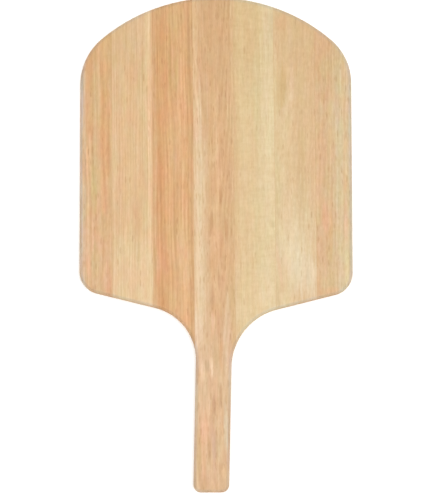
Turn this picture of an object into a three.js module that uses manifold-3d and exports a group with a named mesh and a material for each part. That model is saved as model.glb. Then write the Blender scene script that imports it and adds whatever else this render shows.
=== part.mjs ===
// A flat wooden pizza peel: seven straight staves glued edge to edge, cut to a blade with a domed front edge
// and a narrow handle, thinned towards the front edge and rounded over all round.
// Millimetres. +Y runs from the handle to the front edge, +Z is up and the underside lies at Z = 0.
// X = 0 and Y = 0 are the middle of the board's width and length.
import * as THREE from "three";
import { mergeVertices } from "three/addons/utils/BufferGeometryUtils.js";
import Module from "manifold-3d";

// The whole board
const LENGTH = 558.8;
const BLADE_WIDTH = 306.5;
const HANDLE_WIDTH = 40;
const HANDLE_THICKNESS = 15.9;
const FRONT_THICKNESS = 6.4;
const TAPER_START_Y = -45;
const EDGE_ROUND = 4;
const EDGE_ROUND_STEPS = 3;

// The outline. Angles are in degrees, and the two sides differ a little, as hand-shaped sides do.
const DOME_RADIUS = 200;
const SHOULDER_SLOPE = 14;
const HEEL_RADIUS = 25;
const HANDLE_LEAN = 1.2;
const HANDLE_END_RADIUS = 8.5;
const LEFT_SIDE = { frontCorner: 69, shoulderY: -52.3, neck: 60 };
const RIGHT_SIDE = { frontCorner: 65, shoulderY: -54.3, neck: 68 };
const CURVE_SAG = 0.1;

// The staves and the glue between them. STAVE_CENTRE_X is the centre stave's middle at Y = 0.
const STAVE_WIDTH = 45.8;
const STAVE_CENTRE_X = -1.8;
const STAVE_LEAN = 0.4;
const STAVE_OFFSETS = [-3, -2, -1, 0, 1, 2, 3];
const GLUE_THICKNESS = 0.2;
const GLUE_CLEARANCE = 0.05;
const HANDLE_STAVE_ONLY_BELOW_Y = -150;

const MERGE_DISTANCE = 1e-4;
const TIP_Y = LENGTH / 2;
const END_Y = -LENGTH / 2;
const SIDE_X = BLADE_WIDTH / 2;
const CUTTER_SIZE = 2 * LENGTH;

const STAVES = [
  { name: "left_outer_stave", color: 0xdfb78c, roughness: 0.58 },
  { name: "left_middle_stave", color: 0xe5c296, roughness: 0.56 },
  { name: "left_inner_stave", color: 0xe0b182, roughness: 0.58 },
  { name: "handle_stave", color: 0xe0b892, roughness: 0.55 },
  { name: "right_inner_stave", color: 0xe5c79b, roughness: 0.56 },
  { name: "right_middle_stave", color: 0xe4c79d, roughness: 0.57 },
  { name: "right_outer_stave", color: 0xdeba92, roughness: 0.58 },
];
const GLUE = { color: 0xc79a68, roughness: 0.45 };

const wasm = await Module();
wasm.setup();

const { degToRad, lerp } = THREE.MathUtils;

// Points along an arc, ends included, close enough together to keep each chord within CURVE_SAG of it.
function arcPoints(centre, radius, start, sweep) {
  const widestStep = 2 * Math.acos(1 - CURVE_SAG / radius);
  const steps = Math.ceil(Math.abs(sweep) / widestStep);
  const points = [];
  for (let i = 0; i <= steps; i += 1) {
    const angle = start + (sweep * i) / steps;
    points.push(new THREE.Vector2(Math.cos(angle), Math.sin(angle)).multiplyScalar(radius).add(centre));
  }
  return points;
}

// The arc that rounds the corner between two straight lines, tangent to both.
function roundedCorner(before, corner, after, radius) {
  const back = before.clone().sub(corner).normalize();
  const ahead = after.clone().sub(corner).normalize();
  const halfAngle = Math.acos(back.dot(ahead)) / 2;
  const toCentre = back.clone().add(ahead).setLength(radius / Math.sin(halfAngle));
  const toStart = back.clone().setLength(radius / Math.tan(halfAngle));
  const start = toStart.sub(toCentre).angle();
  const sweep = Math.sign(ahead.cross(back)) * (Math.PI - 2 * halfAngle);
  return arcPoints(corner.clone().add(toCentre), radius, start, sweep);
}

// Half of the domed front edge with its corner, from the tip to the straight side. The side is -1 or 1.
function frontArcs(side, cornerRadius) {
  const domeCentre = new THREE.Vector2(0, TIP_Y - DOME_RADIUS);
  const cornerX = SIDE_X - cornerRadius;
  const cornerRise = Math.sqrt((DOME_RADIUS - cornerRadius) ** 2 - cornerX ** 2);
  const cornerCentre = new THREE.Vector2(side * cornerX, domeCentre.y + cornerRise);
  const domeSweep = -side * Math.atan2(cornerX, cornerRise);
  const cornerStart = Math.PI / 2 + domeSweep;
  const cornerSweep = (-side * Math.PI) / 2 - domeSweep;
  const dome = arcPoints(domeCentre, DOME_RADIUS, Math.PI / 2, domeSweep);
  const corner = arcPoints(cornerCentre, cornerRadius, cornerStart, cornerSweep);
  return [...dome, ...corner.slice(1)];
}

// One side's edge of the leaning handle at the height y.
function handleEdge(side, y) {
  const lean = degToRad(HANDLE_LEAN);
  return new THREE.Vector2(y * Math.tan(lean) + (side * HANDLE_WIDTH) / 2 / Math.cos(lean), y);
}

// Where the line of a shoulder meets the line of the handle's edge.
function neckCorner(side, shoulderY) {
  const slope = Math.tan(degToRad(SHOULDER_SLOPE));
  const lean = Math.tan(degToRad(HANDLE_LEAN));
  const edgeAtZero = side * handleEdge(side, 0).x;
  const y = (shoulderY - (SIDE_X - edgeAtZero) * slope) / (1 - side * lean * slope);
  return handleEdge(side, y);
}

// One side of the outline, from the tip to the corner of the handle's end.
function sidePoints(side, { frontCorner, shoulderY, neck }) {
  const front = frontArcs(side, frontCorner);
  const heelCorner = new THREE.Vector2(side * SIDE_X, shoulderY);
  const neckAt = neckCorner(side, shoulderY);
  const endCorner = handleEdge(side, END_Y);
  const heel = roundedCorner(front[front.length - 1], heelCorner, neckAt, HEEL_RADIUS);
  const neckArc = roundedCorner(heelCorner, neckAt, endCorner, neck);
  const end = roundedCorner(neckAt, endCorner, handleEdge(-side, END_Y), HANDLE_END_RADIUS);
  return [...front, ...heel, ...neckArc, ...end];
}

function boardOutline() {
  const left = sidePoints(-1, LEFT_SIDE);
  const right = sidePoints(1, RIGHT_SIDE);
  right.shift();
  return new THREE.Shape([...left, ...right.reverse()]);
}

function solidFrom(geometry) {
  const bare = geometry.index ? geometry.toNonIndexed() : geometry.clone();
  bare.deleteAttribute("normal");
  bare.deleteAttribute("uv");
  const merged = mergeVertices(bare, MERGE_DISTANCE);
  const vertProperties = merged.getAttribute("position").array;
  const triVerts = new Uint32Array(merged.index.array);
  return new wasm.Manifold(new wasm.Mesh({ numProp: 3, vertProperties, triVerts }));
}

function geometryFrom(solid) {
  const { vertProperties, triVerts } = solid.getMesh();
  const geometry = new THREE.BufferGeometry();
  geometry.setAttribute("position", new THREE.BufferAttribute(vertProperties, 3));
  geometry.setIndex(new THREE.BufferAttribute(triVerts, 1));
  const flatShaded = geometry.toNonIndexed();
  flatShaded.computeVertexNormals();
  return flatShaded;
}

// The outline at the handle's full thickness, with its top and bottom edges rounded over.
function slab() {
  const geometry = new THREE.ExtrudeGeometry(boardOutline(), {
    depth: HANDLE_THICKNESS - 2 * EDGE_ROUND,
    bevelThickness: EDGE_ROUND,
    bevelSize: EDGE_ROUND,
    bevelOffset: -EDGE_ROUND,
    bevelSegments: EDGE_ROUND_STEPS,
  });
  geometry.translate(0, 0, EDGE_ROUND);
  return solidFrom(geometry);
}

// A block through the board's full thickness, from one x to another and one y to another.
function block(fromX, toX, fromY, toY) {
  const geometry = new THREE.BoxGeometry(toX - fromX, toY - fromY, CUTTER_SIZE);
  geometry.translate((fromX + toX) / 2, (fromY + toY) / 2, 0);
  return geometry;
}

// Thins a geometry in front of TAPER_START_Y evenly, down to FRONT_THICKNESS at the tip.
function taper(geometry) {
  const position = geometry.getAttribute("position");
  for (let i = 0; i < position.count; i += 1) {
    const along = (position.getY(i) - TAPER_START_Y) / (TIP_Y - TAPER_START_Y);
    const share = lerp(1, FRONT_THICKNESS / HANDLE_THICKNESS, along);
    position.setZ(i, position.getZ(i) * share);
  }
  return geometry;
}

function board() {
  const full = slab();
  const inFront = solidFrom(block(-CUTTER_SIZE, CUTTER_SIZE, TAPER_START_Y, CUTTER_SIZE));
  const rear = full.subtract(inFront);
  const front = solidFrom(taper(geometryFrom(full.intersect(inFront))));
  return rear.add(front);
}

// A strip of the blade along the staves, from one x to another as measured at Y = 0.
function strip(fromX, toX) {
  const geometry = block(fromX, toX, HANDLE_STAVE_ONLY_BELOW_Y, CUTTER_SIZE);
  return solidFrom(geometry.rotateZ(degToRad(STAVE_LEAN)));
}

function jointX(index) {
  return STAVE_CENTRE_X + (STAVE_OFFSETS[index] + 1 / 2) * STAVE_WIDTH;
}

function staveCutter(index) {
  const setBack = GLUE_THICKNESS / 2 + GLUE_CLEARANCE;
  const isFirst = index === 0;
  const isLast = index === STAVES.length - 1;
  const fromX = isFirst ? -CUTTER_SIZE : jointX(index - 1) + setBack;
  const toX = isLast ? CUTTER_SIZE : jointX(index) - setBack;
  const cutter = strip(fromX, toX);
  if (STAVE_OFFSETS[index] !== 0) return cutter;
  const handle = block(-CUTTER_SIZE, CUTTER_SIZE, -CUTTER_SIZE, HANDLE_STAVE_ONLY_BELOW_Y + MERGE_DISTANCE);
  return cutter.add(solidFrom(handle));
}

function glueCutter(index) {
  return strip(jointX(index) - GLUE_THICKNESS / 2, jointX(index) + GLUE_THICKNESS / 2);
}

function namedMesh(name, solid, { color, roughness }) {
  const material = new THREE.MeshStandardMaterial({ color, roughness, metalness: 0 });
  const mesh = new THREE.Mesh(geometryFrom(solid), material);
  mesh.name = name;
  return mesh;
}

function buildPeel() {
  const peel = new THREE.Group();
  const whole = board();
  STAVES.forEach((look, index) => {
    peel.add(namedMesh(look.name, whole.intersect(staveCutter(index)), look));
  });
  for (let index = 0; index < STAVES.length - 1; index += 1) {
    peel.add(namedMesh(`glue_line_${index + 1}`, whole.intersect(glueCutter(index)), GLUE));
  }
  return peel;
}

export default buildPeel();
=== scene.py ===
"""A wooden pizza peel lying flat on a pale floor, seen from almost straight above.

Seven edge-glued staves and the glue between them are built as separate closed meshes from one rounded-over
board, and each stave has its own procedural wood. Left and right are as seen from above with the front edge
away. Lengths are in metres, but the wood's looks and names that end in _MM are in millimetres.
"""

import math

import bmesh
import bpy
from mathutils import Matrix, Vector, noise


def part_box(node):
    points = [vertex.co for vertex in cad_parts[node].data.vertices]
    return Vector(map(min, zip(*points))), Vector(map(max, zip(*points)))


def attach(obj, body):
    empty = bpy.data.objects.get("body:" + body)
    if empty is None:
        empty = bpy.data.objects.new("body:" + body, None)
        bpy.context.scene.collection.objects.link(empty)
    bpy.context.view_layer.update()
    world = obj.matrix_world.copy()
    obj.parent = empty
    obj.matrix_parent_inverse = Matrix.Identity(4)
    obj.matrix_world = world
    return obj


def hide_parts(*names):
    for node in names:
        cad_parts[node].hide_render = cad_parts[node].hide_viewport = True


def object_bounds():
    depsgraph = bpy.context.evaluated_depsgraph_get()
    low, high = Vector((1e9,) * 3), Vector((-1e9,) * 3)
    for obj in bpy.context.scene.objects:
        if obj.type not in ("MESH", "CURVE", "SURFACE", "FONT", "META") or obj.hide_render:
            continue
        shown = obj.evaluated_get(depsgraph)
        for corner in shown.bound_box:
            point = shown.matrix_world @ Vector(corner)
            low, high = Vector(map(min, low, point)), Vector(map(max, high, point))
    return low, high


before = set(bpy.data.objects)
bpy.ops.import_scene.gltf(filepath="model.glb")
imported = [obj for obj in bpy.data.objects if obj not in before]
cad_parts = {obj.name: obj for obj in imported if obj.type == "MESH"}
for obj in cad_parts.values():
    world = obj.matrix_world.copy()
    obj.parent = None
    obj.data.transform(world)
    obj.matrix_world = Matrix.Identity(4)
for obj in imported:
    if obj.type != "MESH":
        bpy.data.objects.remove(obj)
CAD_LOW, CAD_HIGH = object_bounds()

MM = 0.001
BODY = "root"

# The board: its length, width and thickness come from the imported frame
TIP_Y, END_Y = CAD_HIGH.y, CAD_LOW.y
SIDE_X = CAD_HIGH.x
HANDLE_THICKNESS = CAD_HIGH.z
FRONT_THICKNESS = 6.4 * MM
TAPER_START_Y = -45 * MM
TAPER_SOFTNESS = 12 * MM
EDGE_ROUND = 4 * MM
EDGE_STEPS = 8
CAP_BORDER = 0.6 * MM

# The outline. Side -1 is the left one. The two sides differ a little, as hand-shaped sides do.
HANDLE_WIDTH = 40 * MM
DOME_RADIUS = 200 * MM
SHOULDER_SLOPE = math.radians(14)
HEEL_RADIUS = 25 * MM
HANDLE_LEAN = math.radians(1.2)
HANDLE_END_RADIUS = 8.5 * MM
SIDES = {
    -1: {"front_corner": 69 * MM, "shoulder_y": -52.3 * MM, "neck": 60 * MM},
    1: {"front_corner": 65 * MM, "shoulder_y": -54.3 * MM, "neck": 68 * MM},
}
OUTLINE_STEP = 2.5 * MM
FEWEST_ARC_STEPS = 4

# The staves and the glue. Neighbouring staves are sanded to heights one or two STAVE_STEPs apart.
STAVE_LEAN = math.radians(0.4)
STAVE_WIDTH_MM = 45.8
STAVE_STEP = 0.02 * MM
STAVE_HEIGHTS = 3
GLUE_THICKNESS = 0.2 * MM
ARRIS = 0.25 * MM
ARRIS_DROP = 0.05 * MM
GLUE_DROP = 0.04 * MM
ONLY_HANDLE_BELOW_Y = -150 * MM
GRID_ACROSS = 9 * MM
GRID_ALONG = 12 * MM
SHARP_ANGLE = math.radians(40)
CUT_TOLERANCE = 1e-7
JOINT_TOLERANCE = 1e-5

# What sanding leaves uneven: the outline, the rounding (as a share of its inset) and the top face, whose
# waves are longer along the board. Each stave adds its place in NODES to STAVE_SEED.
OUTLINE_WAVE = 0.12 * MM
OUTLINE_WAVE_LENGTH = 45 * MM
OUTLINE_SEED = 3.1
ROUNDING_WAVE = 0.12
ROUNDING_WAVE_LENGTH = 30 * MM
ROUNDING_SEED = 7.7
TOP_WAVE = 0.05 * MM
TOP_WAVE_LENGTH = 22 * MM
TOP_WAVE_STRETCH = 3
STAVE_SEED = 11.3
GLUE_SEED = 5.5

# The stage. The room's light fades from the horizon up to where a direction's z is FADE_HEIGHT.
FLOOR_HALF_SIZE = 25.0
FLOOR_GAP = 0.3 * MM
FLOOR_WHITE = 0.93
FLOOR_ROUGHNESS = 0.9
FLOOR_GLOW = 0.2
HORIZON_LIGHT = 1.0
ZENITH_LIGHT = 0.35
FADE_HEIGHT = 0.2
OVERHEAD_LIGHT = 2.4
OVERHEAD_WIDTH = math.radians(46)
OVERHEAD_DIRECTION = Vector((-0.35, 0.35, -4.0))

# The camera looks down at CAMERA_TARGET, where the picture covers VIEW_HEIGHT from its bottom to its top
CAMERA_TARGET = Vector((1.66 * MM, -5.55 * MM, 8 * MM))
CAMERA_DISTANCE = 2.633
CAMERA_TILT = math.radians(5)
CAMERA_ROLL = math.radians(-0.0974)
CAMERA_SENSOR_MM = 36
CAMERA_REACH = 20
VIEW_HEIGHT = 556.292 * MM

NODES = [
    "left_outer_stave",
    "left_middle_stave",
    "left_inner_stave",
    "handle_stave",
    "right_inner_stave",
    "right_middle_stave",
    "right_outer_stave",
]

# Base colours are given as the sRGB shades that show under the studio light, which multiplies a base colour
# by LIGHT_LEVEL and adds GLARE
LIGHT_LEVEL = 1.07
GLARE = 0.061

# Each stave's look, in millimetres across from its left joint and along from the board's middle to the front
#   seed: sets its noises apart from the other staves'
#   hue, contrast, mottle, ripple: how strongly hue, streaks and rings, blotches, and cross ripples show
#   slant: how far the bands move aside for each millimetre up through the stave
#   wander: how far the grain strays from side to side
#   pores: how dark the pores are
#   flecks: the share of the places for a fleck that have one
#   rings: (where the pith's line is across, its depth, the trunk's taper, the width of a ring)
#   bands: (across, shade)
#   patches: soft ovals, (across, along, half width, half length, degrees of lean, shade, strength). A lean
#   above 0 is to the left.
LOOKS = [
    {
        "seed": 2.3,
        "hue": 1.3,
        "slant": 0.5,
        "wander": 1.6,
        "contrast": 1.1,
        "mottle": 1.2,
        "ripple": 0.3,
        "pores": 0.45,
        "flecks": 0.3,
        "rings": (70, 30, 0.02, 4.5),
        "bands": [
            (9.5, (221, 188, 150)),
            # The greyish band at 12 lies on the rounding of the board's left edge, as painted shade of that
            # rounding
            (12, (217, 196, 168)),
            (14.5, (219, 190, 156)),
            (18, (228, 187, 145)),
            (22, (224, 181, 137)),
            (26, (220, 184, 140)),
            (31, (227, 188, 144)),
            (36, (223, 176, 130)),
            (41, (222, 179, 134)),
            (45, (221, 182, 138)),
        ],
        "patches": [
            (30, 228, 34, 34, 0, (219, 178, 131), 0.7),
            (21, 170, 5, 56, 0, (221, 178, 130), 0.6),
            (37.5, 140, 5, 80, 0, (223, 173, 125), 0.6),
            (36, 198, 5, 26, 0, (218, 175, 130), 0.6),
            (30, -10, 24, 52, 0, (226, 188, 148), 0.5),
            (18, 96, 1.5, 22, 0, (238, 192, 147), 0.7),
            (13.5, 92, 2, 50, 0, (231, 196, 156), 0.8),
            (29.5, 30, 1.8, 40, 0, (229, 193, 151), 0.6),
            (31, -24, 3, 22, 0, (226, 191, 154), 0.6),
            (25.5, 57, 3.4, 28, 1, (216, 187, 133), 0.65),
            (37.5, 58, 4.2, 26, 0, (227, 175, 133), 0.65),
            (36, 28, 3, 8, 10, (210, 174, 128), 0.5),
            (26, -1, 6, 14, -6, (231, 184, 147), 0.5),
            (26.5, -24, 4.2, 24, 0, (216, 190, 142), 0.8),
            (19, -25, 2.6, 12, 0, (231, 184, 148), 0.5),
            (39, -40, 5, 18, 0, (232, 182, 148), 0.8),
        ],
    },
    {
        "seed": 7.9,
        "hue": 0.9,
        "slant": -0.35,
        "wander": 1.0,
        "contrast": 0.8,
        "mottle": 0.9,
        "ripple": 0.3,
        "pores": 0.28,
        "flecks": 0.1,
        "rings": (-60, 20, 0.01, 3.1),
        "bands": [
            (0, (227, 191, 148)),
            (5, (228, 191, 149)),
            (9, (226, 189, 147)),
            (14, (229, 193, 148)),
            (20, (227, 188, 144)),
            (26, (226, 188, 145)),
            (31, (227, 191, 147)),
            (39.4, (227, 194, 149)),
            (41.2, (238, 201, 158)),
            (43.4, (236, 199, 156)),
            (45.2, (229, 186, 143)),
        ],
        "patches": [
            (16, 228, 26, 44, 0, (223, 188, 145), 0.7),
            (30, 238, 9, 24, 0, (224, 195, 156), 0.5),
            (24, -36, 36, 50, 0, (233, 202, 160), 0.85),
            (13, -30, 5, 22, 0, (225, 194, 151), 0.5),
            (14, 132, 3, 30, 0, (232, 197, 152), 0.6),
            (3, 96, 3.6, 110, 0, (231, 196, 154), 0.7),
            (30.5, 190, 1.0, 32, 0, (214, 183, 137), 0.6),
            (34.6, 194, 1.0, 28, 0, (214, 182, 136), 0.6),
            (34, 140, 4, 16, 0, (219, 190, 143), 0.5),
            (42, 118, 1.6, 46, 0, (243, 206, 165), 0.7),
            (30, 12, 1.1, 40, 0, (219, 184, 138), 0.5),
            (12.5, 30, 1.1, 34, 0, (219, 184, 139), 0.5),
        ],
    },
    {
        "seed": 13.1,
        "hue": 1.2,
        "slant": 0.3,
        "wander": 1.3,
        "contrast": 1.25,
        "mottle": 1.0,
        "ripple": 0.3,
        "pores": 0.42,
        "flecks": 0.2,
        "rings": (95, 25, 0.015, 3.8),
        "bands": [
            (0, (222, 180, 136)),
            (2.5, (222, 178, 134)),
            (6, (218, 168, 121)),
            (10, (220, 168, 120)),
            (15, (224, 174, 126)),
            (20, (225, 179, 131)),
            (25, (221, 176, 130)),
            (30, (227, 182, 135)),
            (36, (230, 182, 135)),
            (42, (217, 171, 124)),
            (45, (218, 174, 129)),
        ],
        "patches": [
            (22, 262, 30, 22, 0, (219, 177, 130), 0.6),
            (8, 212, 4, 64, 0, (215, 163, 116), 0.6),
            (20, 215, 1.7, 54, 0, (207, 163, 113), 0.85),
            (27, 215, 3.2, 46, 0, (221, 181, 130), 0.8),
            (41.5, 230, 2.2, 34, 0, (208, 162, 121), 0.6),
            (37, 180, 4, 40, 0, (226, 175, 130), 0.5),
            (3, 95, 2.4, 40, 0, (227, 182, 137), 0.6),
            (25, 98, 2.2, 22, 0, (221, 181, 140), 0.6),
            (34, 90, 5, 40, 0, (231, 183, 137), 0.5),
            (20, 42, 2, 34, 0, (231, 184, 134), 0.6),
            (25, 20, 1.8, 50, 0, (214, 168, 119), 0.6),
            (12, -16, 5, 30, 0, (224, 171, 129), 0.6),
            (15, 90, 2, 60, 0, (227, 178, 131), 0.6),
            (5.5, -24, 2.6, 26, 0, (231, 180, 141), 0.6),
            (33, -20, 9, 34, 0, (231, 188, 145), 0.6),
        ],
    },
    {
        "seed": 19.7,
        "hue": 0.8,
        "slant": -0.6,
        "wander": 1.2,
        "contrast": 0.95,
        "mottle": 1.0,
        "ripple": 0.4,
        "pores": 0.65,
        "flecks": 0.45,
        "rings": (21, 23, 0.055, 2.9),
        "bands": [
            (0, (229, 192, 150)),
            (1.6, (233, 198, 157)),
            (4, (238, 205, 167)),
            (7.5, (232, 202, 164)),
            (11, (229, 197, 158)),
            (14.5, (225, 188, 148)),
            (20, (223, 181, 137)),
            (26, (227, 186, 142)),
            (31, (221, 178, 135)),
            (36, (223, 183, 139)),
            (41, (221, 183, 139)),
            (45, (223, 188, 143)),
        ],
        "patches": [
            (26, 270, 34, 92, 0, (217, 176, 132), 0.9),
            (1.6, 236, 3.4, 74, 0, (231, 196, 151), 0.95),
            (5.5, 240, 2.6, 56, 0, (222, 185, 140), 0.6),
            (11, 196, 5.5, 44, 0, (218, 175, 132), 0.75),
            (44.6, 240, 2.4, 50, 0, (226, 189, 146), 0.7),
            (12.5, 160, 3.4, 58, 0, (218, 180, 136), 0.85),
            (20, 125, 5, 26, 0, (220, 179, 132), 0.5),
            (32, 190, 7, 44, 0, (215, 173, 130), 0.5),
            (26, 30, 3, 50, 0, (229, 187, 143), 0.5),
            (30.5, 54, 1.9, 13, 0, (205, 159, 116), 0.8),
            (33, 88, 1.7, 11, 2, (208, 163, 119), 0.7),
            (1.2, 0, 2.4, 90, 0, (236, 201, 163), 0.7),
            (34, 92, 5, 46, 0, (225, 186, 141), 0.5),
            (20, 24, 2.0, 13, -2, (209, 164, 121), 0.8),
            (36, 14, 2.2, 14, 3, (209, 162, 119), 0.8),
            (28, -42, 1.9, 13, 2, (209, 165, 125), 0.8),
            (20, -60, 2.0, 15, 0, (209, 167, 127), 0.8),
            (20, -148, 40, 52, 0, (226, 190, 152), 0.85),
            (20, -238, 40, 60, 0, (224, 185, 147), 0.85),
            (3, -98, 5, 26, 0, (238, 209, 174), 0.8),
            (20.6, -90, 2.2, 13, 0, (238, 195, 158), 1.0),
            (26.6, -90, 3, 20, 0, (217, 172, 133), 0.9),
            (30, -127, 4, 17, 0, (225, 177, 135), 0.9),
            (18.4, -141, 1.7, 10, 0, (241, 207, 170), 0.9),
            (13.6, -139, 2.8, 8, 0, (208, 176, 138), 0.8),
            (9, -146, 3, 12, 0, (238, 204, 167), 0.8),
            (15, -184, 2.6, 15, 0, (236, 197, 160), 0.9),
            (28.6, -172, 1.6, 14, 0, (210, 167, 130), 0.9),
            (20.8, -183, 2.0, 13, 0, (209, 167, 131), 0.9),
            (18.2, -205, 2.3, 20, 0, (213, 172, 136), 0.9),
            (12, -199, 1.4, 9, 0, (214, 169, 133), 0.8),
            (10, -214, 4.6, 22, 0, (236, 190, 152), 0.9),
            (21, -230, 2.8, 24, 0, (220, 180, 152), 0.8),
            (15.2, -232, 2.2, 15, 0, (213, 171, 130), 0.9),
            (27, -222, 5, 26, 0, (224, 190, 149), 0.8),
            (34, -208, 2.6, 24, 0, (226, 204, 171), 0.8),
            (36, -110, 5, 50, 0, (228, 196, 162), 0.7),
            (3.5, -240, 3, 36, 0, (218, 182, 137), 0.8),
            (9, -246, 2.6, 22, 0, (230, 182, 142), 0.7),
            (27, -253, 1.7, 8, 0, (211, 168, 127), 0.8),
            (31, -257, 2.2, 10, 0, (237, 196, 154), 0.9),
            (9, -271, 3.4, 9, 0, (210, 172, 130), 0.8),
        ],
    },
    {
        "seed": 26.5,
        "hue": 0.6,
        "slant": 0.7,
        "wander": 2.0,
        "contrast": 0.42,
        "mottle": 0.9,
        "ripple": 1.5,
        "pores": 0.28,
        "flecks": 0.05,
        "rings": (50, 22, 0.04, 5.2),
        "bands": [
            (0, (225, 190, 146)),
            (4, (229, 196, 151)),
            (9, (228, 199, 154)),
            (20, (228, 199, 154)),
            (26, (227, 202, 157)),
            (31, (228, 205, 161)),
            (36, (231, 208, 166)),
            (42, (230, 207, 164)),
            (45.5, (229, 204, 161)),
        ],
        "patches": [
            (15, 234, 22, 66, 0, (222, 191, 144), 0.85),
            (39, 238, 5, 40, 0, (225, 199, 159), 0.8),
            (45, 245, 2, 18, 0, (216, 191, 153), 0.6),
            (24, 186, 12, 22, 0, (223, 199, 153), 0.5),
            (37, 135, 7, 40, 0, (232, 210, 168), 0.6),
            (27, 150, 2.2, 70, 0, (223, 199, 154), 0.5),
            (20, -76, 28, 30, 0, (231, 205, 161), 0.6),
            (2.5, -50, 3.5, 50, 0, (232, 201, 160), 0.7),
            (35, -62, 7, 20, 0, (236, 213, 171), 0.7),
            (7, 20, 4, 34, 3, (231, 202, 158), 0.5),
            (40.5, 11, 2.6, 5, 12, (241, 218, 177), 0.7),
            (43.5, 19, 2, 4, 0, (215, 193, 150), 0.6),
        ],
    },
    {
        "seed": 31.9,
        "hue": 0.6,
        "slant": -0.5,
        "wander": 1.8,
        "contrast": 0.5,
        "mottle": 1.1,
        "ripple": 0.8,
        "pores": 0.32,
        "flecks": 0.12,
        "rings": (12, 19, 0.07, 3.4),
        "bands": [
            (0, (227, 202, 158)),
            (5, (226, 200, 156)),
            (13, (227, 199, 156)),
            (19, (228, 198, 155)),
            (25, (224, 192, 149)),
            (31, (221, 189, 144)),
            (37, (226, 191, 149)),
            (41, (223, 188, 146)),
            (45, (227, 193, 151)),
        ],
        "patches": [
            (26, 244, 40, 76, 0, (220, 186, 142), 0.95),
            (1.5, 180, 3, 36, 0, (227, 202, 156), 0.8),
            (9, 174, 5.0, 28, -3, (217, 184, 134), 0.9),
            (20.5, 185, 3.4, 24, 0, (229, 195, 157), 0.75),
            (10, 250, 8, 10, 0, (224, 181, 138), 0.6),
            (18.5, 226, 4, 26, 0, (221, 189, 149), 0.6),
            (18.8, 162, 2.9, 12, -8, (234, 205, 165), 0.8),
            (13, 152, 3.0, 10, -45, (229, 198, 157), 0.75),
            (29, 104, 3, 60, 0, (220, 187, 142), 0.5),
            (24, -8, 36, 66, 0, (230, 205, 165), 0.85),
            (31, 40, 2.4, 30, 0, (221, 190, 149), 0.6),
            (27, -24, 15, 40, 16, (235, 211, 176), 0.75),
            (25, -34, 9, 26, 6, (233, 212, 178), 0.6),
            (11, -2, 3.4, 26, 10, (236, 214, 172), 0.7),
            (36, -40, 3, 14, 0, (224, 205, 170), 0.6),
            (41, -34, 4, 16, 0, (238, 216, 181), 0.8),
            (3.5, -26, 2.4, 28, 8, (236, 202, 165), 0.7),
            (14, 24, 9, 26, 0, (230, 202, 162), 0.5),
            (44.5, 60, 2.2, 44, 0, (232, 197, 155), 0.6),
        ],
    },
    {
        "seed": 38.3,
        "hue": 1.2,
        "slant": 0.45,
        "wander": 1.6,
        "contrast": 0.8,
        "mottle": 1.3,
        "ripple": 0.5,
        "pores": 0.5,
        "flecks": 0.32,
        "rings": (-45, 24, 0.03, 4.0),
        "bands": [
            (0, (223, 188, 146)),
            (10, (222, 187, 146)),
            (16, (221, 188, 145)),
            (21, (222, 192, 152)),
            (25, (222, 197, 158)),
            (29, (223, 198, 158)),
            (33, (226, 196, 154)),
            (38, (221, 194, 158)),
        ],
        "patches": [
            (12, 200, 18, 34, 0, (219, 183, 140), 0.7),
            (9, 165, 7, 5, 25, (211, 173, 131), 0.5),
            (6, 188, 2.5, 6, 0, (221, 174, 134), 0.5),
            (25, 152, 2.8, 26, 0, (221, 194, 162), 0.6),
            (12, 104, 3, 22, 0, (218, 181, 140), 0.4),
            (27.5, 20, 3.0, 66, 0, (224, 203, 157), 0.5),
            (33.5, 20, 2.4, 30, 0, (233, 196, 161), 0.8),
            (33.5, 88, 2.2, 34, 0, (232, 200, 158), 0.8),
            (33, -28, 3, 22, 0, (228, 207, 163), 0.7),
            (10.5, 24, 4.4, 24, 0, (229, 183, 143), 0.7),
            (16.5, 10, 2.4, 26, 0, (225, 185, 137), 0.6),
            (3, 60, 3.4, 60, 0, (227, 193, 151), 0.6),
            (14, -6, 4, 14, 0, (222, 181, 137), 0.5),
            (12, 64, 4, 8, -12, (225, 182, 143), 0.4),
            (23, -20, 3, 22, 0, (218, 188, 149), 0.6),
            (5, -36, 4, 16, 0, (225, 193, 153), 0.5),
            (13, -57, 12, 6, 6, (226, 180, 136), 0.6),
        ],
    },
]

# The wood's noises: (size across the grain, size along it, detail, number added to the stave's seed)
NOISES = {
    "drift": (30, 170, 2, 0),
    "small_drift": (9, 70, 2, 1),
    "ragged": (2.4, 48, 2, 2),
    "broad_streaks": (8, 380, 2, 3),
    "streaks": (2.8, 110, 2, 4),
    "narrow_streaks": (1.1, 40, 2, 5),
    "fibres": (0.42, 20, 3, 6),
    "ring_waver": (14, 120, 2, 7),
    "ring_strength": (12, 90, 2, 8),
    "hue": (11, 34, 3, 9),
    "ripple": (11, 3.6, 2, 10),
    "ragged_sheen_and_wear": (3, 26, 2, 14),
    "scratches": (0.16, 34, 1, 15),
    "blotches": (2.2, 6, 2, 16),
    "broad_blotches": (4.6, 13, 2, 17),
    "fine_fibres": (0.24, 7, 3, 18),
    "warmth": (8, 15, 3, 19),
}
# Dashes lie one to a cell: (the cell's size across, its size along, number added to the stave's seed, the
# dash's size as a share of the cell). Cells have random shades of grey, and the lightest keep their dashes.
DASHES = {
    "pores": (1.0, 7.5, 11, 0.27),
    "flecks": (2.8, 13, 12, 0.42),
    "rays": (0.9, 3.6, 13, 0.42),
}
GREY_SPREAD = 0.6
GREY_STEP = 0.1
PORES_KEPT = 0.6
RAYS_KEPT = 0.3
RAY_STRENGTH = 0.5
# How far a seed of 1 moves a noise
SEED_MOVES = (3.7, 5.3, 1.9)
# One noise seldom strays further than NOISE_REACH from its middle, 0.5, and a sum of several than SUM_REACH
NOISE_REACH = 0.2
SUM_REACH = 0.16
SMALL_DRIFT = 0.35
DRIFT_MIDDLE = 0.67
RING_WAVER = 2.4
RIM_RAGGEDNESS = 0.35
PATCH_RAGGEDNESS = 1.2
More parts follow.
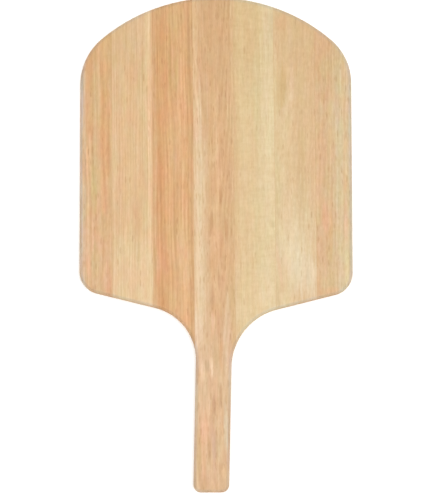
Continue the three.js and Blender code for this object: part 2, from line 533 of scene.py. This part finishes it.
# A patch is whole out to PATCH_FADE_START of its size and gone at PATCH_FADE_END, PATCH_DEPTH is its size
# downwards, and its raggedness is part of the distance
PATCH_DEPTH = 9
PATCH_FADE_START = 1.0
PATCH_FADE_END = 1.95
# Spans, as Nodes.span takes them: (start, end) or (start, end, low, high)
RINGS_SHOWN = (0.35, 0.65, 0.15, 0.5)
FRAYING = (0.36, 0.62, 0.25, 1.0)
FLECKS_ON_END_GRAIN = (0.0, 1.0, 1.0, 0.1)
END_GRAIN_FACING = (0.5, 0.97)
DARK_RINGS = (0.0, 0.95, 0.0, 0.6)
ARCS_ON_END_GRAIN = (0.4, 1.0)
# The next two spans place the painted sheen on the rounded rim, with its wear, and fade both out on the
# upright side
RIM_SHEEN_AND_WEAR = (0.1, 0.75, 0.0, 0.95)
RIM_UPRIGHT = (0.82, 0.99, 1.0, 0.08)
GLUE_DUST = (0.36, 0.64)
# Tints multiply a colour. A pair is for the two ends of a noise.
STREAK_TINT = ((0.925, 0.885, 0.84), (1.07, 1.105, 1.145))
RING_TINT = ((0.95, 0.93, 0.905), (1.04, 1.06, 1.085))
HUE_TINT = ((1.025, 0.968, 0.975), (0.98, 1.032, 1.0))
WARMTH_TINT = ((1.0, 0.993, 0.95), (1.0, 1.007, 1.05))
MOTTLE_TINT = ((0.967, 0.958, 0.938), (1.033, 1.042, 1.062))
FIBRE_TINT = ((0.955, 0.945, 0.93), (1.045, 1.055, 1.07))
RIPPLE_TINT = ((0.985, 0.98, 0.97), (1.015, 1.02, 1.03))
PORE_TINT = (0.80, 0.72, 0.62, 1)
FLECK_TINT = (0.84, 0.76, 0.68, 1)
RAY_TINT = (1.05, 1.06, 1.07, 1)
END_TINT = (0.92, 0.87, 0.80, 1)
END_RING_TINT = (0.80, 0.70, 0.60, 1)
# A bluish grey: painted sheen on the rounded rim, standing in for its grazing reflection, with some paling
# from sanding and handling
RIM_SHEEN_AND_WEAR_TINT = (0.92, 1.02, 1.25, 1)
END_STRENGTH = 0.75
WOOD_ROUGHNESS = 0.69
WOOD_IOR = 1.48
WOOD_RELIEF = 0.05 * MM

GLUE_BLOTCHES = (6, 14, 3, 3.0)
GLUE_SPECKS = (0.4, 1.5, 2, 8.0)
GLUE_SHADES = ((203, 160, 113), (222, 184, 140))
GLUE_ROUGHNESS = 0.3
GLUE_RELIEF = 0.02 * MM


# ---------------------------------------------------------------- outline


def arc_points(centre, radius, start, sweep):
    """Points along an arc, ends included, about OUTLINE_STEP apart."""
    steps = max(FEWEST_ARC_STEPS, math.ceil(abs(sweep) * radius / OUTLINE_STEP))
    angles = [start + sweep * i / steps for i in range(steps + 1)]
    return [centre + Vector((math.cos(a), math.sin(a))) * radius for a in angles]


def rounded_corner(before, corner, after, radius):
    """The arc that rounds the corner between two straight lines, tangent to both."""
    back = (before - corner).normalized()
    ahead = (after - corner).normalized()
    half_angle = back.angle(ahead) / 2
    to_centre = (back + ahead).normalized() * (radius / math.sin(half_angle))
    start = back * (radius / math.tan(half_angle)) - to_centre
    turn = math.copysign(math.pi - 2 * half_angle, ahead.cross(back))
    return arc_points(corner + to_centre, radius, math.atan2(start.y, start.x), turn)


def front_arcs(side, corner_radius):
    """Half of the domed front edge with its corner, from the tip to the straight side."""
    dome_centre = Vector((0, TIP_Y - DOME_RADIUS))
    corner_x = SIDE_X - corner_radius
    corner_rise = math.sqrt((DOME_RADIUS - corner_radius) ** 2 - corner_x**2)
    dome_sweep = -side * math.atan2(corner_x, corner_rise)
    corner_centre = dome_centre + Vector((side * corner_x, corner_rise))
    corner_start = math.pi / 2 + dome_sweep
    dome = arc_points(dome_centre, DOME_RADIUS, math.pi / 2, dome_sweep)
    corner = arc_points(corner_centre, corner_radius, corner_start, -side * math.pi / 2 - dome_sweep)
    return dome + corner[1:]


def handle_edge(side, y):
    """One side's edge of the leaning handle at this y."""
    x = y * math.tan(HANDLE_LEAN) + side * HANDLE_WIDTH / 2 / math.cos(HANDLE_LEAN)
    return Vector((x, y))


def neck_corner(side, shoulder_y):
    """Where the line of a shoulder meets the line of the handle's edge."""
    slope, lean = math.tan(SHOULDER_SLOPE), math.tan(HANDLE_LEAN)
    drop = (SIDE_X - side * handle_edge(side, 0).x) * slope
    return handle_edge(side, (shoulder_y - drop) / (1 - side * lean * slope))


def side_points(side):
    """One side of the outline, from the tip to the corner of the handle's end."""
    sizes = SIDES[side]
    front = front_arcs(side, sizes["front_corner"])
    heel_corner = Vector((side * SIDE_X, sizes["shoulder_y"]))
    neck_at = neck_corner(side, sizes["shoulder_y"])
    end_corner = handle_edge(side, END_Y)
    heel = rounded_corner(front[-1], heel_corner, neck_at, HEEL_RADIUS)
    neck = rounded_corner(heel_corner, neck_at, end_corner, sizes["neck"])
    end = rounded_corner(neck_at, end_corner, handle_edge(-side, END_Y), HANDLE_END_RADIUS)
    return front + heel + neck + end


def evenly_spaced(points):
    """The closed line through these points with its long straight stretches divided up."""
    spaced = []
    for here, there in zip(points, points[1:] + points[:1]):
        steps = max(1, round((there - here).length / OUTLINE_STEP))
        spaced += [here.lerp(there, i / steps) for i in range(steps)]
    return spaced


def board_outline():
    """The outline's points, anticlockwise from the tip, each with its inward normal."""
    points = evenly_spaced(side_points(-1) + side_points(1)[:0:-1])
    outline = []
    for i, point in enumerate(points):
        ahead = points[(i + 1) % len(points)] - points[i - 1]
        outline.append((point, Vector((-ahead.y, ahead.x)).normalized()))
    return outline


# ---------------------------------------------------------------- board


def edge_profile():
    """(inset, height) of each ring round the board at full thickness, from the bottom cap to the top cap."""
    quarter = [math.pi / 2 * i / EDGE_STEPS for i in range(EDGE_STEPS + 1)]
    bottom = [(EDGE_ROUND * (1 - math.sin(a)), EDGE_ROUND * (1 - math.cos(a))) for a in quarter]
    top = [(inset, HANDLE_THICKNESS - height) for inset, height in reversed(bottom)]
    inner = EDGE_ROUND + CAP_BORDER
    return [(inner, 0), *bottom, (0, HANDLE_THICKNESS / 2), *top, (inner, HANDLE_THICKNESS)]


def wave(point, length, seed):
    """Smooth noise from 0 to 1 that changes over this length."""
    return (1 + noise.noise(Vector((point.x / length, point.y / length, seed)))) / 2


def build_slab():
    """The whole board at full thickness, with its edges rounded over and a little uneven."""
    slab = bmesh.new()
    outline = board_outline()
    rings = []
    for inset, height in edge_profile():
        ring = []
        for point, inward in outline:
            uneven = OUTLINE_WAVE * wave(point, OUTLINE_WAVE_LENGTH, OUTLINE_SEED)
            uneven += ROUNDING_WAVE * inset * wave(point, ROUNDING_WAVE_LENGTH, ROUNDING_SEED)
            at = point + inward * (inset + uneven)
            ring.append(slab.verts.new((at.x, at.y, height)))
        rings.append(ring)
    for lower, upper in zip(rings, rings[1:]):
        for i in range(len(outline)):
            j = (i + 1) % len(outline)
            slab.faces.new((lower[i], lower[j], upper[j], upper[i]))
    slab.faces.new(rings[0][::-1])
    slab.faces.new(rings[-1])
    return slab


def cut(mesh, point, normal, drop_outer=False, above_y=None):
    """Cuts a mesh along a plane. With drop_outer the side that the normal points to is removed and the cut
    closed. With above_y only what lies beyond that y is cut."""
    verts, edges, faces = mesh.verts[:], mesh.edges[:], mesh.faces[:]
    if above_y is not None:
        faces = [f for f in faces if f.calc_center_median().y > above_y]
        verts = list({v for f in faces for v in f.verts})
        edges = list({e for f in faces for e in f.edges})
    bmesh.ops.bisect_plane(
        mesh,
        geom=verts + edges + faces,
        dist=CUT_TOLERANCE,
        plane_co=point,
        plane_no=normal,
        clear_outer=drop_outer,
    )
    if drop_outer:
        open_edges = [e for e in mesh.edges if e.is_boundary]
        bmesh.ops.holes_fill(mesh, edges=open_edges, sides=0)


def joint_line(index):
    """A point on the joint between stave index and the next, and the unit normal that points to +X."""
    low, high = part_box(f"glue_line_{index + 1}")
    return (low + high) / 2, Vector((math.cos(STAVE_LEAN), math.sin(STAVE_LEAN), 0))


def strip(slab, sides, keep_handle):
    """A copy of the slab cut down to what lies between the sides, each (a point on it, its outward normal).
    Below ONLY_HANDLE_BELOW_Y it has the whole handle, or nothing."""
    mesh = slab.copy()
    cut(mesh, Vector((0, ONLY_HANDLE_BELOW_Y, 0)), Vector((0, -1, 0)), drop_outer=not keep_handle)
    above_y = ONLY_HANDLE_BELOW_Y if keep_handle else None
    for point, outward in sides:
        cut(mesh, point, outward, drop_outer=True, above_y=above_y)
    return mesh


def add_arrises(mesh, sides, keep_handle):
    """Lines beside the joints, where shape_piece lets the faces start to drop."""
    above_y = ONLY_HANDLE_BELOW_Y if keep_handle else None
    for point, outward in sides:
        cut(mesh, point - outward * ARRIS, outward, above_y=above_y)


def add_grid(mesh):
    """Divides the broad faces, so that they can be slightly uneven."""
    low = Vector(map(min, zip(*(v.co for v in mesh.verts))))
    high = Vector(map(max, zip(*(v.co for v in mesh.verts))))
    across = Vector((math.cos(STAVE_LEAN), math.sin(STAVE_LEAN), 0))
    for i in range(1, int((high.y - low.y) / GRID_ALONG)):
        cut(mesh, Vector((0, low.y + i * GRID_ALONG, 0)), Vector((0, 1, 0)))
    for i in range(1, int((high.x - low.x) / GRID_ACROSS)):
        cut(mesh, Vector((low.x + i * GRID_ACROSS, (low.y + high.y) / 2, 0)), across)


def thickness(y):
    """The board's thickness: the handle's, and evenly less in front of TAPER_START_Y, after a soft start."""
    slope = (HANDLE_THICKNESS - FRONT_THICKNESS) / (TIP_Y - TAPER_START_Y)
    ahead = (y - TAPER_START_Y) / TAPER_SOFTNESS
    eased = max(ahead, 0) + math.log1p(math.exp(-abs(ahead)))
    return HANDLE_THICKNESS - slope * TAPER_SOFTNESS * eased


def shape_piece(mesh, joints, drop, seed):
    """Gives a cut piece the board's taper, a slightly uneven sanded top and, at its joints, a hair's arris.
    Two attributes go with it for the materials: rim, from 0 on the faces to 1 where the edge is steepest,
    and depth, millimetres below the top face."""
    rim = mesh.verts.layers.float.new("rim")
    depth = mesh.verts.layers.float.new("depth")
    for vert in mesh.verts:
        x, y, height = vert.co
        flatness = max(0, 1 - min(height, HANDLE_THICKNESS - height) / EDGE_ROUND)
        vert[rim] = math.sqrt(1 - flatness**2)
        upper = height / HANDLE_THICKNESS
        vert[depth] = (1 - upper) * thickness(y) / MM
        at_joint = any(abs((vert.co - point).dot(outward)) < JOINT_TOLERANCE for point, outward in joints)
        sink = drop + TOP_WAVE * wave(Vector((x, y / TOP_WAVE_STRETCH)), TOP_WAVE_LENGTH, seed)
        sink += ARRIS_DROP if at_joint else 0
        raised = (ARRIS_DROP + drop) * (1 - upper) if at_joint else 0
        vert.co.z = height * thickness(y) / HANDLE_THICKNESS - sink * upper + raised


def finish_piece(mesh, name):
    """Turns the mesh into an object, smooth except at its sharp edges."""
    bmesh.ops.recalc_face_normals(mesh, faces=mesh.faces[:])
    for face in mesh.faces:
        face.smooth = True
    for edge in mesh.edges:
        edge.smooth = len(edge.link_faces) == 2 and edge.calc_face_angle() < SHARP_ANGLE
    data = bpy.data.meshes.new(name)
    mesh.to_mesh(data)
    mesh.free()
    piece = bpy.data.objects.new(name, data)
    bpy.context.scene.collection.objects.link(piece)
    return piece


def build_stave(slab, index):
    """The wood between two joints, or from a joint out to the board's side."""
    sides = []
    if index > 0:
        point, normal = joint_line(index - 1)
        sides.append((point + normal * GLUE_THICKNESS / 2, -normal))
    if index < len(NODES) - 1:
        point, normal = joint_line(index)
        sides.append((point - normal * GLUE_THICKNESS / 2, normal))
    keep_handle = NODES[index] == "handle_stave"
    mesh = strip(slab, sides, keep_handle)
    add_arrises(mesh, sides, keep_handle)
    add_grid(mesh)
    drop = STAVE_STEP * (1 + index % STAVE_HEIGHTS)
    shape_piece(mesh, sides, drop, STAVE_SEED + index)
    return finish_piece(mesh, NODES[index] + "_wood")


def build_glue(slab, index):
    """The film of glue in the joint between stave index and the next, a little below the wood."""
    point, normal = joint_line(index)
    outer = normal * GLUE_THICKNESS / 2
    mesh = strip(slab, [(point - outer, -normal), (point + outer, normal)], keep_handle=False)
    add_grid(mesh)
    shape_piece(mesh, [], GLUE_DROP + ARRIS_DROP, GLUE_SEED)
    return finish_piece(mesh, f"glue_line_{index + 1}_film")


# ---------------------------------------------------------------- materials


def seen(shade):
    """The linear base colour that shows as this 8-bit sRGB shade under the studio light."""
    channels = [c / 255 for c in shade]
    linear = [c / 12.92 if c <= 0.04045 else ((c + 0.055) / 1.055) ** 2.4 for c in channels]
    return [(c - GLARE) / LIGHT_LEVEL for c in linear] + [1]


class Nodes:
    """Builds a material's or a world's node tree. Most methods add a node and return its output socket."""

    def __init__(self, owner):
        owner.use_nodes = True
        self.tree = owner.node_tree
        self.tree.nodes.clear()

    def add(self, kind, inputs, **settings):
        """Adds a node and returns it. An input that is given as a socket is linked, and any other is set."""
        node = self.tree.nodes.new("ShaderNode" + kind)
        for name, value in settings.items():
            setattr(node, name, value)
        for name, value in inputs.items():
            if isinstance(value, bpy.types.NodeSocket):
                self.tree.links.new(value, node.inputs[name])
            else:
                node.inputs[name].default_value = value
        return node

    def math(self, operation, a, b=0.0, c=0.0):
        return self.add("Math", {0: a, 1: b, 2: c}, operation=operation).outputs[0]

    def total(self, *terms):
        """The sum of (socket, weight) pairs."""
        value = 0.0
        for socket, weight in terms:
            value = self.math("MULTIPLY_ADD", socket, weight, value)
        return value

    def span(self, value, start, end, low=0.0, high=1.0):
        """Maps value from start..end to low..high, easing in and out."""
        inputs = {"Value": value, "From Min": start, "From Max": end, "To Min": low, "To Max": high}
        return self.add("MapRange", inputs, interpolation_type="SMOOTHSTEP").outputs[0]

    def spread(self, value, reach):
        """Noise that keeps within reach of 0.5, spread out to fill 0 to 1."""
        return self.span(value, 0.5 - reach, 0.5 + reach)

    def mix(self, share, first, second, blend="MIX"):
        """The first colour with this share of the second blended in."""
        inputs = {0: share, 6: first, 7: second}
        return self.add("Mix", inputs, data_type="RGBA", blend_type=blend).outputs[2]

    def multiplied(self, color, tint, share=1.0):
        """The colour multiplied by a tint, by this share."""
        return self.mix(share, color, tint, "MULTIPLY")

    def tinted(self, color, value, tints, strength=1.0):
        """The colour multiplied by a tint that goes from one to the other as value goes from 0 to 1. The
        strength moves both tints away from white, or towards it."""
        low, high = [[1 + (channel - 1) * strength for channel in tint] + [1] for tint in tints]
        return self.multiplied(color, self.mix(value, low, high))

    def scaled(self, place, across, along, seed):
        """place divided by a size across the grain and a size along it. The seed moves it somewhere else."""
        inputs = {
            "Vector": place,
            "Location": [seed * move for move in SEED_MOVES],
            "Scale": (1 / across, 1 / along, 1 / across),
        }
        return self.add("Mapping", inputs).outputs[0]

    def noise(self, place, across, along, detail, seed):
        """Noise with features of this size across and along the grain."""
        vector = self.scaled(place, across, along, seed)
        return self.add("TexNoise", {"Vector": vector, "Scale": 1.0, "Detail": detail}).outputs[0]

    def ramp(self, value, stops):
        """The colour at this value on a smooth ramp through the stops, each (position, colour)."""
        node = self.add("ValToRGB", {"Fac": value})
        node.color_ramp.interpolation = "EASE"
        elements = node.color_ramp.elements
        # New elements may start anywhere, since the loop after this one places them
        while len(elements) < len(stops):
            elements.new(0.5)
        for element, (position, color) in zip(elements, stops):
            element.position = position
            element.color = color
        return node.outputs[0]

    def surface(self, inputs):
        """Ends a material's tree with a Principled shader."""
        shader = self.add("BsdfPrincipled", inputs)
        self.add("OutputMaterial", {"Surface": shader.outputs[0]})


def joint_across(index):
    """How far across the staves' own frame a joint is, in millimetres. Joint -1, outside the board, is one
    stave's width to the left of joint 0."""
    point, normal = joint_line(max(index, 0))
    return point.dot(normal) / MM - (STAVE_WIDTH_MM if index < 0 else 0)


class Wood(Nodes):
    """Sanded, lightly oiled hardwood for one stave, in millimetres across from its left joint, along the
    grain and up from the top face."""

    def __init__(self, material, index, look):
        super().__init__(material)
        self.look = look
        self.place = self.stave_place(index)
        self.wandered = self.wandered_place()
        self.fibres = self.named("fibres", self.wandered)
        self.streaks = self.total(
            (self.named("broad_streaks", self.wandered), 0.18),
            (self.named("streaks", self.wandered), 0.32),
            (self.named("narrow_streaks", self.wandered), 0.30),
            (self.fibres, 0.20),
        )
        self.rings = self.growth_rings()
        self.pores = self.dashes("pores", PORES_KEPT)
        self.cut_across = self.end_grain()
        # The rounded rim's painted sheen, with its wear
        self.rim_sheen_and_wear = self.rim_sheen_and_wear_mask()

    def named(self, name, place):
        """The noise of this name from NOISES."""
        across, along, detail, number = NOISES[name]
        return self.noise(place, across, along, detail, self.look["seed"] + number)

    def dashes(self, name, kept):
        """1 inside the dashes of this name from DASHES and 0 between them. About this share is kept."""
        across, along, number, size = DASHES[name]
        vector = self.scaled(self.wandered, across, along, self.look["seed"] + number)
        cells = self.add("TexVoronoi", {"Vector": vector, "Scale": 1.0})
        inside = self.span(cells.outputs["Distance"], size, size / 2)
        lightest = 0.5 + (0.5 - kept) * GREY_SPREAD
        chosen = self.span(cells.outputs["Color"], lightest, lightest + GREY_STEP)
        return self.math("MULTIPLY", inside, chosen)

    def stave_place(self, index):
        """Where a point is in the stave."""
        inputs = {
            "Vector": self.add("TexCoord", {}).outputs["Object"],
            "Location": (-joint_across(index - 1), 0, 0),
            "Rotation": (0, 0, -STAVE_LEAN),
            "Scale": (1 / MM, 1 / MM, 1 / MM),
        }
        flat = self.add("SeparateXYZ", {"Vector": self.add("Mapping", inputs).outputs[0]})
        depth = self.add("Attribute", {}, attribute_name="depth").outputs["Fac"]
        up = self.math("MULTIPLY", depth, -1)
        return self.add("CombineXYZ", {"X": flat.outputs[0], "Y": flat.outputs[1], "Z": up}).outputs[0]

    def wandered_place(self):
        """The place moved as the grain wanders a little from side to side."""
        broad, small = self.named("drift", self.place), self.named("small_drift", self.place)
        drift = self.total((broad, 1.0), (small, SMALL_DRIFT))
        wander = self.look["wander"]
        shift = self.math("MULTIPLY_ADD", drift, wander, -DRIFT_MIDDLE * wander)
        offset = self.add("CombineXYZ", {"X": shift}).outputs[0]
        return self.add("VectorMath", {0: self.place, 1: offset}, operation="ADD").outputs[0]

    def growth_rings(self):
        """Rings of a slightly tapering trunk cut lengthwise: stripes, with arches over the pith's line."""
        pith, depth, taper, pitch = self.look["rings"]
        parts = self.add("SeparateXYZ", {"Vector": self.wandered})
        aside = self.math("ABSOLUTE", self.math("SUBTRACT", parts.outputs[0], pith))
        below = self.math("ADD", parts.outputs[2], depth)
        squares = self.math("ADD", self.math("POWER", aside, 2), self.math("POWER", below, 2))
        radius = self.math("SQRT", squares)
        waver = self.named("ring_waver", self.place)
        years = self.total((radius, 1 / pitch), (parts.outputs[1], -taper / pitch), (waver, RING_WAVER))
        return self.math("SINE", self.math("MULTIPLY", years, 2 * math.pi))

    def end_grain(self):
        """1 where the surface faces along the grain, 0 where it doesn't."""
        facing = self.add("SeparateXYZ", {"Vector": self.add("TexCoord", {}).outputs["Normal"]})
        return self.span(self.math("ABSOLUTE", facing.outputs[1]), *END_GRAIN_FACING)

    def rim_sheen_and_wear_mask(self):
        """Where the rounded edge gets its painted sheen, a bluish grey that stands in for grazing
        reflection, and some paling from handling. It fades towards the upright side.
        """
        rim = self.add("Attribute", {}, attribute_name="rim").outputs["Fac"]
        ragged = self.total((rim, 1.0), (self.named("ragged_sheen_and_wear", self.place), RIM_RAGGEDNESS))
        return self.math("MULTIPLY", self.span(ragged, *RIM_SHEEN_AND_WEAR), self.span(rim, *RIM_UPRIGHT))

    def banded(self):
        """Bands of colour across the stave, which slant on their way down through it."""
        parts = self.add("SeparateXYZ", {"Vector": self.wandered})
        across = self.math("MULTIPLY_ADD", parts.outputs[2], self.look["slant"], parts.outputs[0])
        stops = [(at / STAVE_WIDTH_MM, seen(shade)) for at, shade in self.look["bands"]]
        return self.ramp(self.math("DIVIDE", across, STAVE_WIDTH_MM), stops)

    def patched(self, color, patch, ragged):
        """The colour with a soft streaky oval of another shade."""
        across, along, half_width, half_length, lean, shade, strength = patch
        inputs = {
            "Vector": self.place,
            "Location": (across, along, 0),
            "Rotation": (0, 0, math.radians(lean)),
            "Scale": (half_width, half_length, PATCH_DEPTH),
        }
        local = self.add("Mapping", inputs, vector_type="TEXTURE").outputs[0]
        distance = self.add("VectorMath", {0: local}, operation="LENGTH").outputs["Value"]
        distance = self.total((distance, 1.0), (ragged, PATCH_RAGGEDNESS))
        share = self.span(distance, PATCH_FADE_END, PATCH_FADE_START, 0.0, strength)
        return self.mix(share, color, seen(shade))

    def streaked(self, color):
        """The colour with streaks from broad to fine, growth rings and slow changes of hue."""
        look = self.look
        contrast = look["contrast"]
        color = self.tinted(color, self.spread(self.streaks, SUM_REACH), STREAK_TINT, contrast)
        shown = self.span(self.named("ring_strength", self.place), *RINGS_SHOWN)
        ringed = self.math("ADD", self.math("MULTIPLY", self.rings, shown), 0.5)
        color = self.tinted(color, ringed, RING_TINT, contrast)
        small, broad = self.named("blotches", self.place), self.named("broad_blotches", self.place)
        blotches = self.total((small, 0.55), (broad, 0.45))
        layers = [
            (self.named("hue", self.place), NOISE_REACH, HUE_TINT, look["hue"]),
            (self.named("warmth", self.place), NOISE_REACH, WARMTH_TINT, look["hue"]),
            (self.named("ripple", self.place), NOISE_REACH, RIPPLE_TINT, look["ripple"]),
            (blotches, SUM_REACH, MOTTLE_TINT, look["mottle"]),
            (self.named("fine_fibres", self.wandered), NOISE_REACH, FIBRE_TINT, 1.0),
        ]
        for value, reach, tints, strength in layers:
            color = self.tinted(color, self.spread(value, reach), tints, strength)
        return color

    def dashed(self, color):
        """The colour with pores, a few darker flecks and pale rays. The fibres fray the flecks, which are
        long and flat and so hardly show on end grain."""
        color = self.multiplied(color, PORE_TINT, self.math("MULTIPLY", self.pores, self.look["pores"]))
        flecks = self.dashes("flecks", self.look["flecks"])
        frayed = self.math("MULTIPLY", flecks, self.span(self.fibres, *FRAYING))
        shown = self.math("MULTIPLY", frayed, self.span(self.cut_across, *FLECKS_ON_END_GRAIN))
        color = self.multiplied(color, FLECK_TINT, shown)
        rays = self.dashes("rays", RAYS_KEPT)
        return self.multiplied(color, RAY_TINT, self.math("MULTIPLY", rays, RAY_STRENGTH))

    def edged(self, color):
        """The colour with its darker end grain, which shows the rings as arcs, and a painted sheen on its
        rounded rim, mixed in with paling from handling.
        """
        color = self.multiplied(color, END_TINT, self.math("MULTIPLY", self.cut_across, END_STRENGTH))
        on_end_grain = self.span(self.cut_across, *ARCS_ON_END_GRAIN)
        arcs = self.math("MULTIPLY", self.span(self.rings, *DARK_RINGS), on_end_grain)
        color = self.multiplied(color, END_RING_TINT, arcs)
        # Painted sheen on the rounded rim, with some wear, as a bluish grey tint
        return self.multiplied(color, RIM_SHEEN_AND_WEAR_TINT, self.rim_sheen_and_wear)

    def roughness(self):
        """Pores and end grain are rougher than the rest, and pale streaks and the rim, smoothed by handling,
        are smoother.
        """
        rougher = ((self.pores, 0.12), (self.cut_across, 0.12))
        smoother = ((self.streaks, -0.3), (self.rim_sheen_and_wear, -0.08))
        return self.math("ADD", self.total(*rougher, *smoother), WOOD_ROUGHNESS)

    def bump(self):
        """Raised fibres, fine scratches along the grain, open pores and, faintly, the rings."""
        scratches = self.named("scratches", self.place)
        height = self.total((self.fibres, 0.6), (scratches, 0.35), (self.pores, -0.8), (self.rings, 0.08))
        return self.add("Bump", {"Height": height, "Strength": 0.5, "Distance": WOOD_RELIEF}).outputs[0]


def wood(name, index, look):
    """One stave's wood: bands, then patches, streaks, dashes and edges over them."""
    material = bpy.data.materials.new(name)
    nodes = Wood(material, index, look)
    color = nodes.banded()
    ragged = nodes.named("ragged", nodes.wandered)
    for patch in look["patches"]:
        color = nodes.patched(color, patch, ragged)
    color = nodes.edged(nodes.dashed(nodes.streaked(color)))
    inputs = {"Base Color": color, "Roughness": nodes.roughness(), "Normal": nodes.bump(), "IOR": WOOD_IOR}
    nodes.surface(inputs)
    return material


def glue():
    """Cured glue: a translucent-looking amber line, darker where dust has settled in it."""
    material = bpy.data.materials.new("cured_glue")
    nodes = Nodes(material)
    inputs = {"Vector": nodes.add("TexCoord", {}).outputs["Object"], "Scale": (1 / MM, 1 / MM, 1 / MM)}
    place = nodes.add("Mapping", inputs).outputs[0]
    blotches = nodes.noise(place, *GLUE_BLOTCHES)
    specks = nodes.noise(place, *GLUE_SPECKS)
    clean = nodes.span(nodes.total((blotches, 0.6), (specks, 0.4)), *GLUE_DUST)
    color = nodes.mix(clean, *map(seen, GLUE_SHADES))
    roughness = nodes.math("MULTIPLY_ADD", blotches, 0.3, GLUE_ROUGHNESS)
    bump = nodes.add("Bump", {"Height": specks, "Strength": 0.4, "Distance": GLUE_RELIEF}).outputs[0]
    nodes.surface({"Base Color": color, "Roughness": roughness, "Normal": bump})
    return material


# ---------------------------------------------------------------- stage


def build_floor():
    """A wide sheet of white paper, a hair below the board and clear when it is looked at from underneath."""
    size = FLOOR_HALF_SIZE
    corners = [(x, y, -FLOOR_GAP) for x, y in ((-size, -size), (size, -size), (size, size), (-size, size))]
    data = bpy.data.meshes.new("floor")
    data.from_pydata(corners, [], [(0, 1, 2, 3)])
    floor = bpy.data.objects.new("floor", data)
    bpy.context.scene.collection.objects.link(floor)
    material = bpy.data.materials.new("floor_paper")
    nodes = Nodes(material)
    inputs = {
        "Base Color": (FLOOR_WHITE, FLOOR_WHITE, FLOOR_WHITE, 1),
        "Roughness": FLOOR_ROUGHNESS,
        "Emission Color": (1, 1, 1, 1),
        "Emission Strength": FLOOR_GLOW,
    }
    paper = nodes.add("BsdfPrincipled", inputs).outputs[0]
    clear = nodes.add("BsdfTransparent", {}).outputs[0]
    from_below = nodes.add("NewGeometry", {}).outputs["Backfacing"]
    shader = nodes.add("MixShader", {0: from_below, 1: paper, 2: clear})
    nodes.add("OutputMaterial", {"Surface": shader.outputs[0]})
    data.materials.append(material)


def build_room():
    """A white room that is brightest near the horizon."""
    world = bpy.data.worlds.new("studio")
    nodes = Nodes(world)
    direction = nodes.add("TexCoord", {}).outputs["Generated"]
    height = nodes.add("SeparateXYZ", {"Vector": direction}).outputs["Z"]
    inputs = {"Value": height, "From Max": FADE_HEIGHT, "To Min": HORIZON_LIGHT, "To Max": ZENITH_LIGHT}
    strength = nodes.add("MapRange", inputs).outputs[0]
    background = nodes.add("Background", {"Color": (1, 1, 1, 1), "Strength": strength})
    nodes.add("OutputWorld", {"Surface": background.outputs[0]})
    bpy.context.scene.world = world


def build_overhead_light():
    """A broad soft light from almost straight above."""
    data = bpy.data.lights.new("overhead", "SUN")
    data.angle = OVERHEAD_WIDTH
    data.energy = OVERHEAD_LIGHT
    lamp = bpy.data.objects.new("overhead", data)
    lamp.rotation_euler = OVERHEAD_DIRECTION.to_track_quat("-Z", "Y").to_euler()
    bpy.context.scene.collection.objects.link(lamp)


def build_camera():
    """Looks down at the board from a little towards the handle's end."""
    data = bpy.data.cameras.new("camera")
    data.sensor_width = CAMERA_SENSOR_MM
    data.lens = CAMERA_SENSOR_MM * CAMERA_DISTANCE / VIEW_HEIGHT
    data.clip_end = CAMERA_REACH
    camera = bpy.data.objects.new("camera", data)
    back = Vector((0, -math.sin(CAMERA_TILT), math.cos(CAMERA_TILT)))
    turn = Matrix.Rotation(CAMERA_TILT, 4, "X") @ Matrix.Rotation(CAMERA_ROLL, 4, "Z")
    camera.matrix_world = Matrix.Translation(CAMERA_TARGET + back * CAMERA_DISTANCE) @ turn
    bpy.context.scene.collection.objects.link(camera)
    bpy.context.scene.camera = camera


# ---------------------------------------------------------------- scene


def hand_over(piece, node, material):
    """Gives a piece its material and tells the frame which node it replaces."""
    piece.data.materials.append(material)
    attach(piece, BODY)
    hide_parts(node)


def main():
    bpy.context.scene.view_settings.view_transform = "Standard"
    build_camera()
    build_room()
    build_overhead_light()
    build_floor()
    slab = build_slab()
    for index, node in enumerate(NODES):
        piece = build_stave(slab, index)
        hand_over(piece, node, wood(node + "_wood", index, LOOKS[index]))
    cured = glue()
    for index in range(len(NODES) - 1):
        node = f"glue_line_{index + 1}"
        hand_over(build_glue(slab, index), node, cured)
    slab.free()


main()
